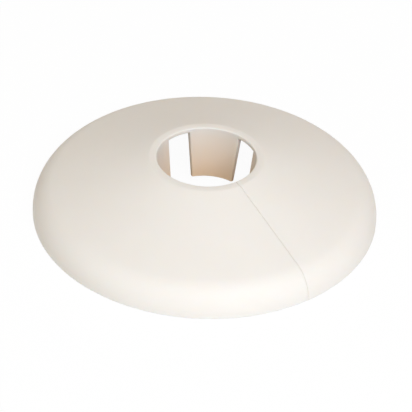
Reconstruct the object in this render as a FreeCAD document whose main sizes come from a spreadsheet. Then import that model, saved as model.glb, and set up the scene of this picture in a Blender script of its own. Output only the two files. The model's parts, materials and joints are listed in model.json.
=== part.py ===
"""Split pipe collar: one moulded shell with spring fingers round its neck.

Frame: +Z up the pipe, origin on the axis at the base, slit along +X.
"""
import FreeCAD, Part
import math
import os

import Sketcher

# Driving sizes in millimetres and degrees. The bore's and the finger tips' diameters are clear openings.
SIZES = {
    "outer_diameter": 56.0,
    "total_height": 10.4,
    "bore_diameter": 16.0,
    "wall_thickness": 1.4,
    "rim_radius": 5.0,
    "skirt_height": 0.4,
    "inner_bevel_angle": 35.0,
    "crest_radius": 1.5,
    "land_width": 1.0,
    "lip_radius": 0.2,
    "neck_depth": 0.7,
    "slit_width": 0.1,
    "finger_count": 4,
    "finger_gap": 4.2,
    "finger_root_thickness": 0.8,
    "finger_tip_thickness": 0.5,
    "finger_tip_diameter": 14.0,
    "finger_tip_height": 1.4,
}

SHEET = "Sizes"
ORIGIN = -1
START = 1
END = 2
CENTRE = 3
FULL_TURN = 360.0
QUARTER_TURN = 90.0
STEP_FOLDER = "parts"


def make_sheet(doc):
    """Write the driving sizes to a spreadsheet, one alias a row."""
    sheet = doc.addObject("Spreadsheet::Sheet", SHEET)
    for row, (name, value) in enumerate(SIZES.items(), start=1):
        sheet.set(f"A{row}", name)
        sheet.set(f"B{row}", str(value))
        sheet.setAlias(f"B{row}", name)
    doc.recompute()


def origin_feature(body, role):
    """Return the body's own origin plane or axis with this role."""
    return next(item for item in body.Origin.OriginFeatures if item.Role == role)


def new_sketch(body, name, role):
    """Add a sketch on one of the body's origin planes."""
    sketch = body.newObject("Sketcher::SketchObject", name)
    sketch.AttachmentSupport = (origin_feature(body, role), [""])
    sketch.MapMode = "FlatFace"
    return sketch


def add_line(sketch, start, end):
    """Add a straight edge and return its index."""
    points = [FreeCAD.Vector(x, y, 0) for x, y in (start, end)]
    return sketch.addGeometry(Part.LineSegment(*points), False)


def add_arc(sketch, centre, radius, start, end):
    """Add an arc that runs anticlockwise between two angles in radians and return its index."""
    circle = Part.Circle(FreeCAD.Vector(*centre, 0), FreeCAD.Vector(0, 0, 1), radius)
    return sketch.addGeometry(Part.ArcOfCircle(circle, start, end), False)


def tangent_corner(centre, radius, first, second):
    """Return where two tangents of a circle cross, from the angles in radians at which they touch it."""
    middle = (first + second) / 2
    away = radius / math.cos((second - first) / 2)
    return centre[0] + away * math.cos(middle), centre[1] + away * math.sin(middle)


def bind(sketch, kind, place, value, expression):
    """Add a sized constraint and bind it to the sheet."""
    index = sketch.addConstraint(Sketcher.Constraint(kind, *place, value))
    sketch.setExpression(f"Constraints[{index}]", expression)


def relate(sketch, kind, *places):
    """Add a constraint that has no size."""
    sketch.addConstraint(Sketcher.Constraint(kind, *places))


def draw_finger_ring(sketch):
    """Draw the section of the ring that becomes the fingers: rooted in the neck, its foot leans in to the pipe."""
    bore = SIZES["bore_diameter"] / 2
    root_height = SIZES["total_height"] - SIZES["lip_radius"]
    neck = SIZES["total_height"] - SIZES["neck_depth"]
    root = bore + SIZES["finger_root_thickness"]
    tip = SIZES["finger_tip_diameter"] / 2
    tip_back = tip + SIZES["finger_tip_thickness"]
    tip_height = SIZES["finger_tip_height"]

    top = add_line(sketch, (root, root_height), (bore, root_height))
    throat = add_line(sketch, (bore, root_height), (bore, neck))
    face = add_line(sketch, (bore, neck), (tip, tip_height))
    end = add_line(sketch, (tip, tip_height), (tip_back, tip_height))
    back = add_line(sketch, (tip_back, tip_height), (root, root_height))

    relate(sketch, "Horizontal", top)
    relate(sketch, "Vertical", throat)
    relate(sketch, "Horizontal", end)
    relate(sketch, "Coincident", top, END, throat, START)
    relate(sketch, "Coincident", throat, END, face, START)
    relate(sketch, "Coincident", face, END, end, START)
    relate(sketch, "Coincident", end, END, back, START)
    relate(sketch, "Coincident", back, END, top, START)

    bind(sketch, "DistanceX", (ORIGIN, START, throat, END), bore, f"{SHEET}.bore_diameter / 2")
    bind(sketch, "DistanceY", (ORIGIN, START, throat, END), neck, f"{SHEET}.total_height - {SHEET}.neck_depth")
    bind(sketch, "DistanceY", (ORIGIN, START, top, END), root_height, f"{SHEET}.total_height - {SHEET}.lip_radius")
    bind(sketch, "DistanceX", (top, END, top, START), root - bore, f"{SHEET}.finger_root_thickness")
    bind(sketch, "DistanceX", (ORIGIN, START, face, END), tip, f"{SHEET}.finger_tip_diameter / 2")
    bind(sketch, "DistanceY", (ORIGIN, START, face, END), tip_height, f"{SHEET}.finger_tip_height")
    bind(sketch, "DistanceX", (end, START, end, END), tip_back - tip, f"{SHEET}.finger_tip_thickness")


def draw_shell(sketch):
    """Draw the shell's section: base, skirt, rim round, cone, crest, land, lip, neck and the inner wall's flats."""
    outer = SIZES["outer_diameter"] / 2
    bore = SIZES["bore_diameter"] / 2
    wall = SIZES["wall_thickness"]
    rim = SIZES["rim_radius"]
    skirt = SIZES["skirt_height"]
    crest = SIZES["crest_radius"]
    land_width = SIZES["land_width"]
    lip = SIZES["lip_radius"]
    top = SIZES["total_height"]
    neck = top - SIZES["neck_depth"]
    rim_centre = (outer - rim, skirt)
    crest_centre = (bore + land_width, top - crest)
    lip_centre = (bore + lip, top - lip)

    # The cone is the line that touches the rim round and the crest round.
    run = rim_centre[0] - crest_centre[0]
    rise = crest_centre[1] - rim_centre[1]
    slope = math.atan2(rise, run) - math.asin((rim - crest) / math.hypot(run, rise))
    up = math.pi / 2 - slope
    rim_end = (rim_centre[0] + rim * math.cos(up), rim_centre[1] + rim * math.sin(up))
    crest_start = (crest_centre[0] + crest * math.cos(up), crest_centre[1] + crest * math.sin(up))

    # Inside, three flats touch a circle one wall in from the rim round: the cone, a bevel and the upright wall.
    inner = rim - wall
    reach = (rim_centre[0] - bore, neck - rim_centre[1])
    inner_slope = math.atan2(reach[1], reach[0]) - math.asin(inner / math.hypot(*reach))
    inner_up = math.pi / 2 - inner_slope
    bevel_up = math.radians(SIZES["inner_bevel_angle"])
    cone_corner = tangent_corner(rim_centre, inner, bevel_up, inner_up)
    wall_corner = tangent_corner(rim_centre, inner, 0, bevel_up)

    base = add_line(sketch, (outer - wall, 0), (outer, 0))
    side = add_line(sketch, (outer, 0), (outer, skirt))
    shoulder = add_arc(sketch, rim_centre, rim, 0, up)
    cone = add_line(sketch, rim_end, crest_start)
    crown = add_arc(sketch, crest_centre, crest, up, math.pi / 2)
    land = add_line(sketch, (crest_centre[0], top), (lip_centre[0], top))
    edge = add_arc(sketch, lip_centre, lip, math.pi / 2, math.pi)
    throat = add_line(sketch, (bore, top - lip), (bore, neck))
    under = add_line(sketch, (bore, neck), cone_corner)
    bevel = add_line(sketch, cone_corner, wall_corner)
    inside = add_line(sketch, wall_corner, (outer - wall, 0))
    circle = Part.Circle(FreeCAD.Vector(*rim_centre, 0), FreeCAD.Vector(0, 0, 1), inner)
    offset = sketch.addGeometry(circle, True)

    relate(sketch, "Horizontal", base)
    relate(sketch, "Vertical", side)
    relate(sketch, "Horizontal", land)
    relate(sketch, "Vertical", throat)
    relate(sketch, "Vertical", inside)
    relate(sketch, "Coincident", base, END, side, START)
    relate(sketch, "Tangent", side, END, shoulder, START)
    relate(sketch, "Tangent", shoulder, END, cone, START)
    relate(sketch, "Tangent", cone, END, crown, START)
    relate(sketch, "Tangent", crown, END, land, START)
    relate(sketch, "Tangent", land, END, edge, START)
    relate(sketch, "Tangent", edge, END, throat, START)
    relate(sketch, "Coincident", throat, END, under, START)
    relate(sketch, "Coincident", under, END, bevel, START)
    relate(sketch, "Coincident", bevel, END, inside, START)
    relate(sketch, "Coincident", inside, END, base, START)
    relate(sketch, "Coincident", offset, CENTRE, shoulder, CENTRE)
    relate(sketch, "Tangent", under, offset)
    relate(sketch, "Tangent", bevel, offset)
    relate(sketch, "Tangent", inside, offset)
    relate(sketch, "PointOnObject", base, START, ORIGIN)

    bind(sketch, "DistanceX", (ORIGIN, START, side, END), outer, f"{SHEET}.outer_diameter / 2")
    bind(sketch, "DistanceY", (ORIGIN, START, side, END), skirt, f"{SHEET}.skirt_height")
    bind(sketch, "DistanceX", (ORIGIN, START, throat, END), bore, f"{SHEET}.bore_diameter / 2")
    bind(sketch, "DistanceY", (ORIGIN, START, throat, END), neck, f"{SHEET}.total_height - {SHEET}.neck_depth")
    bind(sketch, "DistanceY", (ORIGIN, START, land, END), top, f"{SHEET}.total_height")
    bind(sketch, "DistanceX", (throat, END, crown, CENTRE), land_width, f"{SHEET}.land_width")
    bind(sketch, "DistanceX", (inside, END, side, END), wall, f"{SHEET}.wall_thickness")
    bind(sketch, "Angle", (bevel,), bevel_up - math.pi / 2, f"{SHEET}.inner_bevel_angle - {QUARTER_TURN}")
    bind(sketch, "Radius", (shoulder,), rim, f"{SHEET}.rim_radius")
    bind(sketch, "Radius", (crown,), crest, f"{SHEET}.crest_radius")
    bind(sketch, "Radius", (edge,), lip, f"{SHEET}.lip_radius")


def draw_cut(sketch, width_name):
    """Draw a cut seen from above: a bar of the named width, from the axis out past the rim along +X."""
    width = SIZES[width_name]
    reach = SIZES["outer_diameter"]

    near = add_line(sketch, (0, -width / 2), (reach, -width / 2))
    end = add_line(sketch, (reach, -width / 2), (reach, width / 2))
    far = add_line(sketch, (reach, width / 2), (0, width / 2))
    start = add_line(sketch, (0, width / 2), (0, -width / 2))

    relate(sketch, "Horizontal", near)
    relate(sketch, "Vertical", end)
    relate(sketch, "Horizontal", far)
    relate(sketch, "Vertical", start)
    relate(sketch, "Coincident", near, END, end, START)
    relate(sketch, "Coincident", end, END, far, START)
    relate(sketch, "Coincident", far, END, start, START)
    relate(sketch, "Coincident", start, END, near, START)
    relate(sketch, "Symmetric", start, START, start, END, ORIGIN, START)

    bind(sketch, "DistanceY", (end, START, end, END), width, f"{SHEET}.{width_name}")
    bind(sketch, "DistanceX", (near, START, near, END), reach, f"{SHEET}.outer_diameter")


def turn_section(doc, body, name, draw):
    """Draw a section on the XZ plane and turn it once round the axis."""
    sketch = new_sketch(body, f"{name}Section", "XZ_Plane")
    draw(sketch)
    turned = body.newObject("PartDesign::Revolution", name)
    turned.Profile = sketch
    turned.ReferenceAxis = (sketch, ["V_Axis"])
    turned.Angle = FULL_TURN
    doc.recompute()
    return turned


def cut_upwards(body, name, width_name):
    """Start a pocket of the named width that cuts upwards from the base plane."""
    sketch = new_sketch(body, f"{name}Outline", "XY_Plane")
    draw_cut(sketch, width_name)
    cut = body.newObject("PartDesign::Pocket", name)
    cut.Profile = sketch
    cut.Reversed = True
    return cut


def finish_cut(doc, body, last, volume_before):
    """Make the cut the body's tip, and stop if it took nothing away."""
    body.Tip = last
    doc.recompute()
    if last.Shape.Volume >= volume_before:
        raise RuntimeError(f"{last.Name} cut nothing")


def make_collar(doc):
    """Build the collar: a ring parted into fingers, the shell over it, and the slit through one finger gap."""
    body = doc.addObject("PartDesign::Body", "Collar")
    body.Label = "collar"

    # The gaps stop at the neck, so the fingers stay joined by the part of the ring that the shell encloses.
    ring = turn_section(doc, body, "FingerRing", draw_finger_ring)
    gap = cut_upwards(body, "FingerGap", "finger_gap")
    gap.Type = "Length"
    gap.setExpression("Length", f"{SHEET}.total_height - {SHEET}.neck_depth")
    gaps = body.newObject("PartDesign::PolarPattern", "FingerGaps")
    gaps.Originals = [gap]
    gaps.Axis = (origin_feature(body, "Z_Axis"), [""])
    gaps.Angle = FULL_TURN
    gaps.setExpression("Occurrences", f"{SHEET}.finger_count")
    finish_cut(doc, body, gaps, ring.Shape.Volume)

    shell = turn_section(doc, body, "Shell", draw_shell)
    slit = cut_upwards(body, "Slit", "slit_width")
    slit.Type = "ThroughAll"
    finish_cut(doc, body, slit, shell.Shape.Volume)
    return body


def check_document(doc):
    """Stop if any object failed to compute."""
    for item in doc.Objects:
        if {"Invalid", "Error"} & set(item.State):
            raise RuntimeError(f"{item.Name} failed: {item.State}")


def write_step(body):
    """Write one sub-part's solid to its own file."""
    shape = body.Shape
    if shape.isNull() or not shape.isValid() or len(shape.Solids) != 1:
        raise RuntimeError(f"{body.Label} is not one valid solid")
    shape.exportStep(os.path.join(STEP_FOLDER, f"{body.Label}.step"))
    box = shape.optimalBoundingBox(True, False)
    print(f"{body.Label}: {shape.Volume:.1f} mm3, {box.XLength:.2f} x {box.YLength:.2f} x {box.ZLength:.2f} mm")


def main():
    """Build the part and write its step file."""
    doc = FreeCAD.newDocument("PipeCollar")
    make_sheet(doc)
    collar = make_collar(doc)
    doc.recompute()
    check_document(doc)
    os.makedirs(STEP_FOLDER, exist_ok=True)
    write_step(collar)


main()
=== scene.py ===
"""Dressed model of a split pipe collar: a low cream plastic cone with four spring fingers round its bore."""

import json
import logging
import math
from dataclasses import dataclass, field
from enum import Enum
from typing import Any

import bmesh
import bpy
from mathutils import Matrix, Vector


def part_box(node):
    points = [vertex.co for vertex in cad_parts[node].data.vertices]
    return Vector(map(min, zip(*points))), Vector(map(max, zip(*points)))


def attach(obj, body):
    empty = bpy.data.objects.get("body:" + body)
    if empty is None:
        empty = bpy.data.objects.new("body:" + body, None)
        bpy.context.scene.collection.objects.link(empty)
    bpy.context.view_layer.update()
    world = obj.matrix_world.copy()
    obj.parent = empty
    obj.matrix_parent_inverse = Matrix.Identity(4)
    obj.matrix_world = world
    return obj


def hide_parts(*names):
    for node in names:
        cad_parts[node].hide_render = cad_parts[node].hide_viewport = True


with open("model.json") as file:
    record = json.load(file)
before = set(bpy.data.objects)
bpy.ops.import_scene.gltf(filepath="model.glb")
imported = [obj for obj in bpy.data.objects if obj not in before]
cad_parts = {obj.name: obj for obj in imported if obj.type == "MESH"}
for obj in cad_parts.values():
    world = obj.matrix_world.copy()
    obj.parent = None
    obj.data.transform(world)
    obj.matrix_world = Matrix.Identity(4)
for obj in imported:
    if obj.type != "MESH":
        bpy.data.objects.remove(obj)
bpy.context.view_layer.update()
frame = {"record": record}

LOG = logging.getLogger("pipe_collar")
MM = 0.001
FULL_TURN = 2.0 * math.pi
WHITE = (1.0, 1.0, 1.0)
Point = tuple[float, float]
Colour = tuple[float, float, float]
Socket = bpy.types.NodeSocket
Number = Socket | float
Tone = Socket | Colour


class Outline(Enum):
    """The two closed outlines that the moulding is swept from, by the value of their mesh attribute."""

    SHELL = False
    FINGER = True


class Mark(Enum):
    """Names of the attributes that the drawn outlines hand to the sweep."""

    FINGER = "belongs_to_finger"
    ROOT = "on_finger_root"
    HIDDEN = "on_hidden_side"
    # Painted shade: where this is high the tone is made darker and warmer, deep in the bore towards the
    # finger tips and on the slit's faces.
    THIN = "painted_shade_mark"


class NodeBench:
    """A node tree on the bench: adds nodes, sets their sockets and links them."""

    # Places of the two colours among a Mix node's inputs, and of their blend among its outputs.
    FIRST_COLOUR, SECOND_COLOUR, BLEND = 6, 7, 2
    # A face's average of a mark is above this only if all of its points carry the mark.
    WHOLE_FACE = 0.99

    def __init__(self, tree: bpy.types.NodeTree) -> None:
        """Take the tree that is to be filled."""
        self.tree = tree

    @classmethod
    def for_surface(cls, owner: bpy.types.Material | bpy.types.World) -> "NodeBench":
        """Clear the tree of a material or a world and put it on the bench.

        Args:
            owner: The material or the world.

        Returns:
            The bench with its empty tree.
        """
        owner.use_nodes = True
        owner.node_tree.nodes.clear()
        return cls(owner.node_tree)

    def sockets(self, in_out: str, **kinds: str) -> None:
        """Give the tree its named sockets.

        Args:
            in_out: INPUT or OUTPUT.
            **kinds: Each socket's name, with _ for a space, and its kind.
        """
        for name, kind in kinds.items():
            label = name.replace("_", " ").title()
            self.tree.interface.new_socket(label, in_out=in_out, socket_type=f"NodeSocket{kind}")

    def add(self, kind: str, feeds: dict[str | int, Any] | None = None, **settings: Any) -> bpy.types.Node:
        """Add one node.

        Args:
            kind: Blender's type name of the node.
            feeds: Input name or index, and the output socket or value that feeds it.
            **settings: Properties of the node itself.

        Returns:
            The new node.
        """
        node = self.tree.nodes.new(kind)
        for name, value in settings.items():
            setattr(node, name, value)
        for key, source in (feeds or {}).items():
            self.feed(node.inputs[key], source)
        return node

    def feed(self, target: Socket, source: Any) -> None:
        """Link an output socket to an input, or set the input's own value.

        Args:
            target: The input.
            source: The output socket or the value.
        """
        if isinstance(source, Socket):
            self.tree.links.new(source, target)
        elif target.type == "RGBA":
            target.default_value = (*source, 1.0)
        else:
            target.default_value = source

    def math(self, operation: str, *values: Number) -> Socket:
        """Add a Math node.

        Args:
            operation: Blender's name of the operation.
            *values: Output sockets or numbers, in the order of the node's inputs.

        Returns:
            The node's output.
        """
        return self.add("ShaderNodeMath", dict(enumerate(values)), operation=operation).outputs[0]

    def mix(self, share: Number, first: Tone, second: Tone, blend: str = "MIX") -> Socket:
        """Add a Mix node for two colours.

        Args:
            share: How much of the second colour is taken.
            first: First colour.
            second: Second colour.
            blend: Blender's name of the way they are blended.

        Returns:
            The blended colour.
        """
        feeds = {0: share, self.FIRST_COLOUR: first, self.SECOND_COLOUR: second}
        return self.add("ShaderNodeMix", feeds, data_type="RGBA", blend_type=blend).outputs[self.BLEND]

    def attribute(self, mark: Mark, data_type: str) -> Socket:
        """Read one of the outlines' attributes."""
        named = self.add("GeometryNodeInputNamedAttribute", {"Name": mark.value}, data_type=data_type)
        return named.outputs[0]

    def on_faces(self, value: Socket) -> Socket:
        """Average a point value over each face."""
        average = self.add("GeometryNodeFieldOnDomain", {0: value}, domain="FACE", data_type="FLOAT")
        return average.outputs[0]

    def marked_faces(self, mark: Mark) -> Socket:
        """Pick the faces all of whose points carry a mark."""
        return self.math("GREATER_THAN", self.on_faces(self.attribute(mark, "FLOAT")), self.WHOLE_FACE)

    def seen_directly(self) -> Socket:
        """Tell the rays that show a surface from those that only carry its light.

        Returns:
            1 for the camera's rays and for those seen in gloss or through clear things, and 0 for others.
        """
        rays = self.add("ShaderNodeLightPath").outputs
        passed_on = self.math("MAXIMUM", rays["Is Glossy Ray"], rays["Is Transmission Ray"])
        return self.math("MAXIMUM", rays["Is Camera Ray"], passed_on)


@dataclass
class Section:
    """A closed outline in a plane through the axis, drawn as (radius, height) points in metres.

    It is drawn along its show side first, and then back along its hidden side.
    """

    points: list[Point]
    hidden_from: int = 0

    def line(self, end: Point, steps: int = 1) -> None:
        """Draw a straight run from the last point.

        Args:
            end: Where the run ends.
            steps: How many equal lengths it is divided into.
        """
        start = Vector(self.points[-1])
        for step in range(1, steps + 1):
            self.points.append(tuple(start.lerp(Vector(end), step / steps)))

    def arc(self, centre: Point, radius: float, start: float, stop: float, steps: int) -> None:
        """Draw an arc on from the last point, which is the arc's own start.

        Args:
            centre: Centre of the arc.
            radius: Its radius.
            start: Angle of its start from the radius axis, in radians.
            stop: Angle of its end.
            steps: How many equal lengths it is divided into.
        """
        for step in range(1, steps + 1):
            angle = start + (stop - start) * step / steps
            self.points.append(on_circle(centre, radius, angle))

    def turn_to_hidden_side(self) -> None:
        """Count what is drawn from here on as the hidden side."""
        self.hidden_from = len(self.points)

    def hidden(self) -> list[float]:
        """Mark each point with 1 on the hidden side and 0 on the show side."""
        return [float(at >= self.hidden_from) for at in range(len(self.points))]


def on_circle(centre: Point, radius: float, angle: float) -> Point:
    """Find the point of a circle at an angle from the radius axis."""
    return centre[0] + radius * math.cos(angle), centre[1] + radius * math.sin(angle)


def tangent_corner(centre: Point, radius: float, first: float, second: float) -> Point:
    """Find where two tangents of a circle cross.

    Args:
        centre: Centre of the circle.
        radius: Its radius.
        first: Angle at which the first tangent touches it, in radians.
        second: Angle at which the second one does.

    Returns:
        The corner between them.
    """
    return on_circle(centre, radius / math.cos((second - first) / 2), (first + second) / 2)


class MouldedSkin:
    """The shader group that the finishes share: slow clouds of tone and gloss, painted shade that darkens
    and warms the tone where the mesh asks for it, and the mould's grain.
    """

    CLOUD_LAYERS = 3.0
    GRAIN_LAYERS = 2.0

    def __init__(self) -> None:
        """Build the group."""
        self.tree = bpy.data.node_groups.new("moulded skin", "ShaderNodeTree")
        bench = NodeBench(self.tree)
        bench.sockets(
            "INPUT", place="Vector", thinness="Float", pale="Color", deep="Color", thin_tint="Color",
            cloud_size="Float", grain_size="Float", least_roughness="Float", roughness_drift="Float",
        )
        bench.sockets("OUTPUT", colour="Color", roughness="Float", grain="Float")
        given = bench.add("NodeGroupInput").outputs
        clouds = self.noise(bench, given["Place"], given["Cloud Size"], self.CLOUD_LAYERS)
        tone = bench.mix(clouds, given["Deep"], given["Pale"])
        # Painted shade: the tone is multiplied towards a darker, warmer tint by the painted-shade share at
        # each point.
        tone = bench.mix(given["Thinness"], tone, given["Thin Tint"], "MULTIPLY")
        roughness = bench.math("MULTIPLY_ADD", clouds, given["Roughness Drift"], given["Least Roughness"])
        grain = self.noise(bench, given["Place"], given["Grain Size"], self.GRAIN_LAYERS)
        bench.add("NodeGroupOutput", {"Colour": tone, "Roughness": roughness, "Grain": grain})

    @staticmethod
    def noise(bench: NodeBench, place: Socket, size: Socket, layers: float) -> Socket:
        """Add soft noise whose spots have a real size.

        Args:
            bench: The group's bench.
            place: Coordinates in metres.
            size: Width of a spot in metres.
            layers: How many finer layers the noise has.

        Returns:
            The noise, from 0 to 1.
        """
        scale = bench.math("DIVIDE", 1.0, size)
        spots = bench.add("ShaderNodeTexNoise", {"Vector": place, "Scale": scale, "Detail": layers})
        return spots.outputs["Fac"]


@dataclass(frozen=True)
class CreamPlastic:
    """Cream plastic as it comes out of the mould. The preset is the satin show side."""

    name: str = "cream_plastic_satin"
    pale: Colour = (0.85, 0.81, 0.757)
    deep: Colour = (0.83, 0.782, 0.722)
    # Tint of the painted shade that darkens and warms the fingers towards their tips and the slit's faces.
    thin_tint: Colour = (0.96, 0.73, 0.52)
    least_roughness: float = 0.48
    roughness_drift: float = 0.08
    gloss: float = 0.3
    refraction: float = 1.46
    cloud_size: float = 9.0 * MM
    grain_size: float = 0.22 * MM
    grain_height: float = 0.004 * MM
    grain_strength: float = 0.6
    glow_weight: float = 0.3
    glow_depth: float = 0.8 * MM
    glow_reach: Colour = (1.0, 0.75, 0.55)

    @classmethod
    def hidden_side(cls) -> "CreamPlastic":
        """Make the duller finish that the mould leaves on the sides that don't show."""
        return cls("cream_plastic_dull", least_roughness=0.56, grain_size=0.35 * MM, grain_height=0.01 * MM)

    def material(self, skin: MouldedSkin) -> bpy.types.Material:
        """Make the material.

        Args:
            skin: The group that gives tone, gloss and grain.

        Returns:
            The new material.
        """
        material = bpy.data.materials.new(self.name)
        bench = NodeBench.for_surface(material)
        surface = bench.add(
            "ShaderNodeGroup",
            {
                "Place": bench.add("ShaderNodeTexCoord").outputs["Object"],
                # The painted shade's share at each point, read from the mesh.
                "Thinness": bench.add("ShaderNodeAttribute", attribute_name=Mark.THIN.value).outputs["Fac"],
                "Pale": self.pale,
                "Deep": self.deep,
                "Thin Tint": self.thin_tint,
                "Cloud Size": self.cloud_size,
                "Grain Size": self.grain_size,
                "Least Roughness": self.least_roughness,
                "Roughness Drift": self.roughness_drift,
            },
            node_tree=skin.tree,
        ).outputs
        bump = bench.add(
            "ShaderNodeBump",
            {"Strength": self.grain_strength, "Distance": self.grain_height, "Height": surface["Grain"]},
        )
        shader = bench.add(
            "ShaderNodeBsdfPrincipled",
            {
                "Base Color": surface["Colour"],
                "Roughness": surface["Roughness"],
                "Normal": bump.outputs["Normal"],
                "IOR": self.refraction,
                "Specular IOR Level": self.gloss,
                "Subsurface Weight": self.glow_weight,
                "Subsurface Scale": self.glow_depth,
                "Subsurface Radius": self.glow_reach,
            },
        )
        bench.add("ShaderNodeOutputMaterial", {"Surface": shader.outputs[0]})
        return material


@dataclass(frozen=True)
class PaperFloor:
    """White paper under the collar: plain white to the camera, but for the collar's faint shadow."""

    name: str = "white_paper"
    colour: Colour = (0.86, 0.86, 0.86)
    shadow_share: float = 0.04

    def material(self) -> bpy.types.Material:
        """Make the material, which is clear from below so that the underside can be seen.

        Returns:
            The new material.
        """
        material = bpy.data.materials.new(self.name)
        bench = NodeBench.for_surface(material)
        paper = bench.add("ShaderNodeBsdfDiffuse", {"Color": self.colour})
        shaded = bench.add("ShaderNodeBsdfDiffuse", {"Color": WHITE})
        white = bench.add("ShaderNodeEmission", {"Color": WHITE, "Strength": 1.0})
        shown = bench.add(
            "ShaderNodeMixShader", {0: self.shadow_share, 1: white.outputs[0], 2: shaded.outputs[0]}
        )
        front = bench.add(
            "ShaderNodeMixShader", {0: bench.seen_directly(), 1: paper.outputs[0], 2: shown.outputs[0]}
        )
        clear = bench.add("ShaderNodeBsdfTransparent")
        below = bench.add("ShaderNodeNewGeometry").outputs["Backfacing"]
        both = bench.add("ShaderNodeMixShader", {0: below, 1: front.outputs[0], 2: clear.outputs[0]})
        bench.add("ShaderNodeOutputMaterial", {"Surface": both.outputs[0]})
        return material


@dataclass(frozen=True)
class Swept:
    """A swept mesh, and each point's share of the path, drawn radius and drawn height."""

    mesh: Socket
    share: Socket
    radius: Socket
    height: Socket


class CollarForm(NodeBench):
    """The Geometry Nodes tree that sweeps the drawn outlines into the moulding.

    Its inputs are the outlines, the sizes that the sweep follows, and the finishes. A pitch is the way from
    one finger to the next, and the gap share is half a gap as a share of a pitch's steps.
    """

    def __init__(self) -> None:
        """Build the whole tree."""
        super().__init__(bpy.data.node_groups.new("collar form", "GeometryNodeTree"))
        self.tree.is_modifier = True
        self.sockets(
            "INPUT", outlines="Geometry", turn_steps="Int", gap_steps="Int", finger_count="Int",
            finger_gap="Float", slit_width="Float", sewing_reach="Float", show_finish="Material",
            hidden_finish="Material",
        )
        self.sockets("OUTPUT", collar="Geometry")
        self.given = self.add("NodeGroupInput").outputs
        self.pitch = self.math("DIVIDE", FULL_TURN, self.given["Finger Count"])
        self.pitch_steps = self.math("DIVIDE", self.given["Turn Steps"], self.given["Finger Count"])
        half_gap_steps = self.math("MULTIPLY", self.given["Gap Steps"], 0.5)
        self.gap_share = self.math("DIVIDE", half_gap_steps, self.pitch_steps)
        self.root_faces = self.marked_faces(Mark.ROOT)
        outlines = self.add(
            "GeometryNodeSeparateGeometry",
            {"Geometry": self.given["Outlines"], "Selection": self.attribute(Mark.FINGER, "BOOLEAN")},
        ).outputs
        fingers = self.fingers(outlines["Selection"])
        shell = self.shell(outlines["Inverted"])
        self.add("NodeGroupOutput", {0: self.one_skin(shell, fingers)})

    def fingers(self, outline: Socket) -> Socket:
        """Sweep one finger between two gaps, leave its root open, and repeat it round the axis.

        Args:
            outline: Edges of the finger's outline.

        Returns:
            All the fingers.
        """
        finger_steps = self.math("SUBTRACT", self.pitch_steps, self.given["Gap Steps"])
        finger_share = self.math("DIVIDE", finger_steps, self.pitch_steps)
        swept = self.sweep(outline, finger_steps)
        finger = self.wrap(swept, self.math("MULTIPLY_ADD", swept.share, finger_share, self.gap_share))
        places = self.add("GeometryNodePoints", {"Count": self.given["Finger Count"]})
        spin = self.math("MULTIPLY", self.add("GeometryNodeInputIndex").outputs[0], self.pitch)
        repeated = self.add(
            "GeometryNodeInstanceOnPoints",
            {
                "Points": places.outputs[0],
                "Instance": self.without(finger, self.root_faces),
                "Rotation": self.add("ShaderNodeCombineXYZ", {2: spin}).outputs[0],
            },
        )
        return self.add("GeometryNodeRealizeInstances", {0: repeated.outputs[0]}).outputs[0]

    def shell(self, outline: Socket) -> Socket:
        """Sweep the shell one turn from slit face to slit face, and open it where the fingers join it.

        Args:
            outline: Edges of the shell's outline.

        Returns:
            The shell.
        """
        swept = self.sweep(outline, self.given["Turn Steps"])
        pitches = self.math("MULTIPLY", swept.share, self.given["Finger Count"])
        in_pitch = self.math("FRACT", self.on_faces(pitches))
        from_middle = self.math("ABSOLUTE", self.math("SUBTRACT", in_pitch, 0.5))
        at_finger = self.math("LESS_THAN", from_middle, self.math("SUBTRACT", 0.5, self.gap_share))
        opened = self.math("MULTIPLY", at_finger, self.root_faces)
        return self.without(self.wrap(swept, pitches), opened)

    def one_skin(self, *pieces: Socket) -> Socket:
        """Sew the open edges of the pieces together, and give the skin's two sides their finishes.

        Args:
            *pieces: The shell and the fingers.

        Returns:
            The finished moulding.
        """
        joined = self.add("GeometryNodeJoinGeometry")
        for piece in pieces:
            self.feed(joined.inputs[0], piece)
        feeds = {0: joined.outputs[0], "Distance": self.given["Sewing Reach"]}
        sewn = self.add("GeometryNodeMergeByDistance", feeds)
        smooth = self.add("GeometryNodeSetShadeSmooth", {0: sewn.outputs[0]})
        real = self.add("GeometryNodeRealizeInstances", {0: smooth.outputs[0]})
        feeds = {0: real.outputs[0], "Material": self.given["Show Finish"]}
        shown = self.add("GeometryNodeSetMaterial", feeds)
        dressed = self.add(
            "GeometryNodeSetMaterial",
            {
                0: shown.outputs[0],
                "Selection": self.marked_faces(Mark.HIDDEN),
                "Material": self.given["Hidden Finish"],
            },
        )
        return dressed.outputs[0]

    def without(self, mesh: Socket, faces: Socket) -> Socket:
        """Take faces out of a mesh."""
        feeds = {"Geometry": mesh, "Selection": faces}
        return self.add("GeometryNodeDeleteGeometry", feeds, domain="FACE").outputs[0]

    def remembered(self, geometry: Socket, kind: str, label: str, value: Socket) -> tuple[Socket, Socket]:
        """Let the points of a geometry remember a value.

        Args:
            geometry: The geometry.
            kind: Blender's name of the value's kind.
            label: What the value is called.
            value: The value at each point.

        Returns:
            The geometry, and the value as it was here.
        """
        keep = self.add("GeometryNodeCaptureAttribute", {"Geometry": geometry})
        keep.capture_items.new(kind, label)
        self.feed(keep.inputs[label], value)
        return keep.outputs[0], keep.outputs[label]

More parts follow.
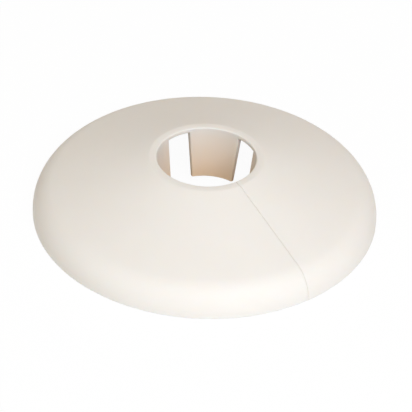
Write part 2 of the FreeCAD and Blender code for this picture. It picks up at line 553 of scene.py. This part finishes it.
    def sweep(self, outline: Socket, steps: Socket) -> Swept:
        """Sweep an outline along a straight path, to be wrapped round the axis afterwards.

        Args:
            outline: Edges of the outline.
            steps: How many steps the sweep takes.

        Returns:
            The mesh with capped ends, and what its points remember.
        """
        drawn = self.add("GeometryNodeMeshToCurve", {"Mesh": outline}).outputs[0]
        here = self.add("GeometryNodeInputPosition").outputs[0]
        drawn, place = self.remembered(drawn, "VECTOR", "drawn place", here)
        path = self.add("GeometryNodeCurvePrimitiveLine").outputs[0]
        feeds = {"Curve": path, "Count": self.math("ADD", steps, 1.0)}
        path = self.add("GeometryNodeResampleCurve", feeds).outputs[0]
        along = self.add("GeometryNodeSplineParameter").outputs["Factor"]
        path, share = self.remembered(path, "FLOAT", "share of path", along)
        feeds = {"Curve": path, "Profile Curve": drawn, "Fill Caps": True}
        mesh = self.add("GeometryNodeCurveToMesh", feeds).outputs[0]
        drawn_at = self.add("ShaderNodeSeparateXYZ", {0: place}).outputs
        return Swept(mesh, share, radius=drawn_at["X"], height=drawn_at["Y"])

    def slit_pull(self, away: Socket) -> Socket:
        """Fade from 1 at a face of the slit to 0 at half a gap from it, by the pitches in between."""
        faded = self.math("SUBTRACT", 1.0, self.math("DIVIDE", away, self.gap_share))
        return self.math("MAXIMUM", faded, 0.0)

    def wrap(self, swept: Swept, pitches: Socket) -> Socket:
        """Set each swept point to its place round the axis.

        Up to half a gap from a gap's middle line the steps run parallel to that line, so a gap has straight
        sides. From there to the middle of the finger they fan out evenly. The slit's two faces are held
        apart.

        Args:
            swept: The swept mesh.
            pitches: Each point's place round the axis, counted in pitches from the slit.

        Returns:
            The mesh with its points in place.
        """
        half_gap = self.math("MULTIPLY", self.given["Finger Gap"], 0.5)
        half_slit = self.math("MULTIPLY", self.given["Slit Width"], 0.5)
        nearest_gap = self.math("ROUND", pitches)
        offset = self.math("SUBTRACT", pitches, nearest_gap)
        in_gap = self.math("MINIMUM", offset, self.gap_share)
        in_gap = self.math("MAXIMUM", in_gap, self.math("MULTIPLY", self.gap_share, -1.0))
        to_end = self.math("SUBTRACT", self.given["Finger Count"], pitches)
        slit_side = self.math("SUBTRACT", self.slit_pull(pitches), self.slit_pull(to_end))
        aside = self.math("MULTIPLY", self.math("DIVIDE", in_gap, self.gap_share), half_gap)
        aside = self.math("MULTIPLY_ADD", slit_side, half_slit, aside)
        half_finger_share = self.math("SUBTRACT", 0.5, self.gap_share)
        in_finger = self.math("DIVIDE", self.math("SUBTRACT", offset, in_gap), half_finger_share)
        gap_angle = self.math("ARCSINE", self.math("DIVIDE", half_gap, swept.radius))
        half_finger = self.math("SUBTRACT", self.math("MULTIPLY", self.pitch, 0.5), gap_angle)
        turned = self.math("ARCSINE", self.math("DIVIDE", aside, swept.radius))
        turned = self.math("MULTIPLY_ADD", in_finger, half_finger, turned)
        turned = self.math("MULTIPLY_ADD", nearest_gap, self.pitch, turned)
        place = self.add(
            "ShaderNodeCombineXYZ",
            {
                "X": self.math("MULTIPLY", swept.radius, self.math("COSINE", turned)),
                "Y": self.math("MULTIPLY", swept.radius, self.math("SINE", turned)),
                "Z": swept.height,
            },
        )
        feeds = {"Geometry": swept.mesh, "Position": place.outputs[0]}
        return self.add("GeometryNodeSetPosition", feeds).outputs[0]


@dataclass
class PipeCollar:
    """The collar's one moulding. Lengths are in metres, and angles in radians.

    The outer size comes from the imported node, and the bore and the neck from its bore mount. The slit is
    drawn nearly closed, as it lies at rest.
    """

    outer_radius: float
    height: float
    bore_radius: float
    neck_foot: float

    # Shell and slit.
    wall: float = 1.4 * MM
    rim_radius: float = 5.0 * MM
    skirt: float = 0.4 * MM
    inner_bevel: float = math.radians(35.0)
    crest_radius: float = 1.5 * MM
    land_width: float = 1.0 * MM
    lip_radius: float = 0.2 * MM
    slit_width: float = 0.01 * MM
    slit_round: float = 0.18 * MM
    # Share of painted shade on the slit's faces: a darker, warmer line in the slit.
    slit_shade_share: float = 0.1

    # Fingers.
    finger_count: int = 4
    finger_gap: float = 4.2 * MM
    finger_root: float = 0.8 * MM
    finger_tip: float = 0.5 * MM
    tip_radius: float = 7.0 * MM
    tip_height: float = 1.4 * MM
    # Share of painted shade at a finger's root; it grows to all of it at the tip.
    root_shade_share: float = 0.2

    # Edges, and how finely everything is divided.
    edge_round: float = 0.1 * MM
    sharp_angle: float = math.radians(30.0)
    sewing_reach: float = 0.002 * MM
    turn_steps: int = 240
    gap_steps: int = 14
    cone_steps: int = 12
    finger_steps: int = 8
    rim_steps: int = 14
    crest_steps: int = 5
    land_steps: int = 2
    lip_steps: int = 5
    round_steps: int = 3

    @classmethod
    def from_frame(cls) -> "PipeCollar":
        """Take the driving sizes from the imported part.

        Returns:
            The collar, ready to be built.
        """
        low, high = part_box("collar")
        bore = next(mount for mount in frame["record"]["mounts"] if mount["name"] == "pipe_bore")
        return cls(
            outer_radius=(high.x - low.x) / 2,
            height=high.z - low.z,
            bore_radius=bore["dims"]["r_mm"] * MM,
            neck_foot=bore["pos_m"][2] - bore["dims"]["length_mm"] * MM / 2,
        )

    @property
    def rim_centre(self) -> Point:
        """Centre of the rim's round."""
        return self.outer_radius - self.rim_radius, self.skirt

    @property
    def crest_centre(self) -> Point:
        """Centre of the round between the cone and the flat land at the top."""
        return self.bore_radius + self.land_width, self.height - self.crest_radius

    @property
    def lip_centre(self) -> Point:
        """Centre of the small round between the land and the bore."""
        return self.bore_radius + self.lip_radius, self.height - self.lip_radius

    @property
    def neck(self) -> Point:
        """Foot of the neck's round wall, where the fingers' faces start."""
        return self.bore_radius, self.neck_foot

    def cone_angle(self) -> float:
        """Work out which way the outside of the cone faces.

        Returns:
            The angle of its normal from the radius axis: the cone is tangent to the rim and to the crest.
        """
        across = Vector(self.rim_centre) - Vector(self.crest_centre)
        lean = math.acos((self.crest_radius - self.rim_radius) / across.length)
        return math.atan2(across.y, across.x) + lean

    def underside_angle(self) -> float:
        """Work out which way the cone's underside leaves the inner rim.

        Returns:
            The angle at which a line from the neck's foot is tangent to the inside of the rim.
        """
        reach = Vector(self.neck) - Vector(self.rim_centre)
        return math.atan2(reach.y, reach.x) - math.acos((self.rim_radius - self.wall) / reach.length)

    def finger_back_root(self) -> Point:
        """Find where the back of a finger meets the cone's underside.

        Returns:
            The crossing of the two lines.
        """
        tip = Vector((self.tip_radius + self.finger_tip, self.tip_height))
        back = Vector((self.bore_radius + self.finger_root, self.lip_centre[1])) - tip
        angle = self.underside_angle()
        under = Vector((math.sin(angle), -math.cos(angle)))
        reach = Vector(self.neck) - tip
        along = (reach.x * under.y - reach.y * under.x) / (back.x * under.y - back.y * under.x)
        return tuple(tip + back * along)

    def shell_section(self) -> Section:
        """Draw the shell's wall.

        Returns:
            The outline: rim, cone, land, lip and neck, and back along the flats of the underside.
        """
        inner_radius = self.rim_radius - self.wall
        facing, under = self.cone_angle(), self.underside_angle()
        section = Section([(self.outer_radius, 0.0), (self.outer_radius, self.skirt)])
        section.arc(self.rim_centre, self.rim_radius, 0.0, facing, self.rim_steps)
        section.line(on_circle(self.crest_centre, self.crest_radius, facing), self.cone_steps)
        section.arc(self.crest_centre, self.crest_radius, facing, math.pi / 2, self.crest_steps)
        section.line((self.lip_centre[0], self.height), self.land_steps)
        section.arc(self.lip_centre, self.lip_radius, math.pi / 2, math.pi, self.lip_steps)
        section.line(self.neck)
        section.turn_to_hidden_side()
        section.line(self.finger_back_root())
        inner_crease = tangent_corner(self.rim_centre, inner_radius, self.inner_bevel, under)
        section.line(inner_crease, self.cone_steps)
        section.line(tangent_corner(self.rim_centre, inner_radius, 0.0, self.inner_bevel))
        section.line((self.outer_radius - self.wall, 0.0))
        return section

    def finger_section(self) -> Section:
        """Draw one finger.

        Returns:
            The outline: down the finger's face, across its tip and up its back.
        """
        section = Section([self.neck])
        section.line((self.tip_radius, self.tip_height), self.finger_steps)
        section.turn_to_hidden_side()
        section.line((self.tip_radius + self.finger_tip, self.tip_height))
        section.line(self.finger_back_root(), self.finger_steps)
        return section

    def drawn_outlines(self) -> bpy.types.Mesh:
        """Lay both outlines in one mesh of edges.

        Returns:
            The mesh, with each point marked with what the sweep needs to know.
        """
        mesh = bpy.data.meshes.new("collar_outlines")
        points: list[Point] = []
        edges: list[tuple[int, int]] = []
        of_finger: list[bool] = []
        hidden: list[float] = []
        for outline in Outline:
            section = self.finger_section() if outline is Outline.FINGER else self.shell_section()
            first, count = len(points), len(section.points)
            points += section.points
            edges += [(first + at, first + (at + 1) % count) for at in range(count)]
            of_finger += [outline.value] * count
            hidden += section.hidden()
        marks = {
            Mark.ROOT: [float(self.at_root(point)) for point in points],
            Mark.HIDDEN: hidden,
            # Painted shade on the fingers, growing from root to tip; none on the shell.
            Mark.THIN: [self.thinness(point) * finger for point, finger in zip(points, of_finger)],
        }
        mesh.from_pydata([(radius, height, 0.0) for radius, height in points], edges, [])
        mesh.attributes.new(Mark.FINGER.value, "BOOLEAN", "POINT").data.foreach_set("value", of_finger)
        for mark, values in marks.items():
            mesh.attributes.new(mark.value, "FLOAT", "POINT").data.foreach_set("value", values)
        return mesh

    def at_root(self, point: Point) -> bool:
        """Tell whether a drawn point is an end of the line where a finger joins the shell."""
        ends = (self.neck, self.finger_back_root())
        return any(math.dist(point, end) < self.sewing_reach for end in ends)

    def thinness(self, point: Point) -> float:
        """Tell how much painted shade a point of a finger gets, from the root's share up to 1 at its tip."""
        share = (self.neck_foot - point[1]) / (self.neck_foot - self.tip_height)
        return self.root_shade_share + (1.0 - self.root_shade_share) * min(max(share, 0.0), 1.0)

    def build(self, show_finish: bpy.types.Material, hidden_finish: bpy.types.Material) -> bpy.types.Object:
        """Sweep the moulding, round its edges and put it in the frame.

        Args:
            show_finish: Finish of the outside and of the fingers' faces.
            hidden_finish: Finish of the underside and of the fingers' backs.

        Returns:
            The finished piece.
        """
        mesh = self.swept_mesh(show_finish, hidden_finish)
        self.prepare_skin(mesh)
        piece = bpy.data.objects.new("collar_moulding", mesh)
        bpy.context.scene.collection.objects.link(piece)
        self.round_edges(piece)
        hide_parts("collar")
        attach(piece, "root")
        return piece

    def swept_mesh(
        self, show_finish: bpy.types.Material, hidden_finish: bpy.types.Material
    ) -> bpy.types.Mesh:
        """Sweep the drawn outlines into a plain mesh.

        Args:
            show_finish: Finish of the show side.
            hidden_finish: Finish of the hidden side.

        Returns:
            The moulding with sharp edges.
        """
        drawn = bpy.data.objects.new("collar_drawing", self.drawn_outlines())
        bpy.context.scene.collection.objects.link(drawn)
        modifier = drawn.modifiers.new("form", "NODES")
        modifier.node_group = CollarForm().tree
        inputs = {
            "Turn Steps": self.turn_steps,
            "Gap Steps": self.gap_steps,
            "Finger Count": self.finger_count,
            "Finger Gap": self.finger_gap,
            "Slit Width": self.slit_width,
            "Sewing Reach": self.sewing_reach,
            "Show Finish": show_finish,
            "Hidden Finish": hidden_finish,
        }
        for item in modifier.node_group.interface.items_tree:
            if item.name in inputs:
                modifier[item.identifier] = inputs[item.name]
        graph = bpy.context.evaluated_depsgraph_get()
        mesh = bpy.data.meshes.new_from_object(drawn.evaluated_get(graph))
        bpy.data.objects.remove(drawn)
        return mesh

    def prepare_skin(self, mesh: bpy.types.Mesh) -> None:
        """Turn every face of the closed skin outwards, mark its sharp edges, and paint a little shade on the
        slit's faces.

        Args:
            mesh: The swept moulding.
        """
        skin = bmesh.new()
        skin.from_mesh(mesh)
        open_edges = sum(not edge.is_manifold for edge in skin.edges)
        LOG.info("skin: %d faces, %d open edges", len(skin.faces), open_edges)
        bmesh.ops.recalc_face_normals(skin, faces=skin.faces)
        weight = skin.edges.layers.float.new("bevel_weight_edge")
        for edge in skin.edges:
            if edge.calc_face_angle() > self.sharp_angle:
                edge[weight] = self.rounding_share(edge)
        # Paint a little shade on the slit's faces.
        thin = skin.verts.layers.float[Mark.THIN.value]
        for vertex in filter(self.on_slit, skin.verts):
            vertex[thin] = self.slit_shade_share
        skin.to_mesh(mesh)
        skin.free()

    def on_slit(self, vertex: bmesh.types.BMVert) -> bool:
        """Tell whether a point of the skin lies on one of the slit's two faces."""
        return vertex.co.x > 0.0 and abs(vertex.co.y) < self.slit_width

    def rounding_share(self, edge: bmesh.types.BMEdge) -> float:
        """Work out how much of the slit's largest round an edge gets.

        Args:
            edge: A sharp edge of the skin.

        Returns:
            All of it beside the slit at the bore, less towards the rim, and the plain edge round elsewhere.
        """
        if all(self.on_slit(vertex) for vertex in edge.verts):
            return min(math.sqrt(self.bore_radius / vertex.co.x) for vertex in edge.verts)
        return self.edge_round / self.slit_round

    def round_edges(self, piece: bpy.types.Object) -> None:
        """Take the sharpness off the moulding's edges, and most off the slit's.

        Args:
            piece: The moulding, with its edges marked.
        """
        rounding = piece.modifiers.new("edge round", "BEVEL")
        rounding.width = self.slit_round
        rounding.segments = self.round_steps
        rounding.limit_method = "WEIGHT"
        rounding.use_clamp_overlap = False
        rounding.harden_normals = True


def direction(azimuth: float, elevation: float) -> Vector:
    """Point from the collar towards a view: azimuth 0 stands at -Y, and a quarter turn at +X."""
    flat = math.cos(elevation)
    return Vector((math.sin(azimuth) * flat, -math.cos(azimuth) * flat, math.sin(elevation)))


@dataclass(frozen=True)
class SoftLamp:
    """A round soft lamp.

    Its level sets how bright the collar looks in its light, whatever the distance. Its swing is the angle
    from the camera's side, positive to the right.
    """

    name: str
    level: float
    tint: Colour
    swing: float
    elevation: float
    distance: float = 0.7
    width: float = 0.5

    def hang(self, camera_azimuth: float) -> None:
        """Hang the lamp so that it shines on the collar.

        Args:
            camera_azimuth: Where the camera stands round the collar, in radians.
        """
        light = bpy.data.lights.new(self.name, "AREA")
        light.shape = "DISK"
        light.size = self.width
        light.color = self.tint
        light.energy = self.level * math.pi**2 * self.distance**2
        lamp = bpy.data.objects.new(self.name, light)
        towards = direction(camera_azimuth + self.swing, self.elevation)
        lamp.location = towards * self.distance
        lamp.rotation_mode = "QUATERNION"
        lamp.rotation_quaternion = towards.to_track_quat("Z", "Y")
        bpy.context.scene.collection.objects.link(lamp)


@dataclass
class Studio:
    """Paper floor, soft lamps and the camera. Lengths are in metres, and angles in radians."""

    floor: PaperFloor = field(default_factory=PaperFloor)
    floor_width: float = 4.0
    floor_drop: float = 0.02 * MM
    azimuth: float = math.radians(53.95)
    elevation: float = math.radians(37.02)
    roll: float = math.radians(2.2)
    distance: float = 0.3221
    aim_height: float = 0.44 * MM
    aim_right: float = 0.2 * MM
    lens_mm: float = 172.4
    nearest_share: float = 0.01
    ambient: float = 0.4
    ambient_tint: Colour = (1.0, 0.84, 0.63)
    lamps: tuple[SoftLamp, ...] = (
        SoftLamp("key", 0.81, (0.8, 0.88, 1.0), math.radians(28.0), math.radians(43.0)),
        SoftLamp("fill", 0.21, (0.8, 0.92, 1.0), math.radians(-40.0), math.radians(43.0)),
    )

    def lay_floor(self) -> None:
        """Lay the paper just under the base."""
        half = self.floor_width / 2
        mesh = bpy.data.meshes.new("paper_floor")
        corners = [(-half, -half), (half, -half), (half, half), (-half, half)]
        mesh.from_pydata([(x, y, -self.floor_drop) for x, y in corners], [], [(0, 1, 2, 3)])
        mesh.materials.append(self.floor.material())
        paper = bpy.data.objects.new("paper_floor", mesh)
        bpy.context.scene.collection.objects.link(paper)

    def light_room(self) -> None:
        """Fill the room with even light, and show it as plain white."""
        world = bpy.data.worlds.new("studio")
        bench = NodeBench.for_surface(world)
        room = bench.add("ShaderNodeBackground", {"Color": self.ambient_tint, "Strength": self.ambient})
        white = bench.add("ShaderNodeBackground", {"Color": WHITE, "Strength": 1.0})
        mixed = bench.add(
            "ShaderNodeMixShader", {0: bench.seen_directly(), 1: room.outputs[0], 2: white.outputs[0]}
        )
        bench.add("ShaderNodeOutputWorld", {"Surface": mixed.outputs[0]})
        bpy.context.scene.world = world

    def place_camera(self) -> None:
        """Stand the camera where the collar is seen from, tilted a little to its side."""
        back = direction(self.azimuth, self.elevation)
        right = Vector((math.cos(self.azimuth), math.sin(self.azimuth), 0.0))
        up = back.cross(right)
        right, up = (
            right * math.cos(self.roll) + up * math.sin(self.roll),
            up * math.cos(self.roll) - right * math.sin(self.roll),
        )
        lens = bpy.data.cameras.new("camera")
        lens.lens = self.lens_mm
        lens.clip_start = self.distance * self.nearest_share
        camera = bpy.data.objects.new("camera", lens)
        aim = Vector((0.0, 0.0, self.aim_height)) + right * self.aim_right
        turn = Matrix((right, up, back)).transposed().to_4x4()
        camera.matrix_world = Matrix.Translation(aim + back * self.distance) @ turn
        bpy.context.scene.collection.objects.link(camera)
        bpy.context.scene.camera = camera

    def build(self) -> None:
        """Set up the whole studio."""
        self.lay_floor()
        self.light_room()
        for lamp in self.lamps:
            lamp.hang(self.azimuth)
        self.place_camera()
        bpy.context.scene.view_settings.view_transform = "Standard"


def main() -> None:
    """Build the collar and its studio."""
    logging.basicConfig(level=logging.INFO, format="%(name)s: %(message)s")
    skin = MouldedSkin()
    show_finish = CreamPlastic().material(skin)
    hidden_finish = CreamPlastic.hidden_side().material(skin)
    piece = PipeCollar.from_frame().build(show_finish, hidden_finish)
    LOG.info("%s: %d faces", piece.name, len(piece.data.polygons))
    Studio().build()


if __name__ == "__main__":
    main()
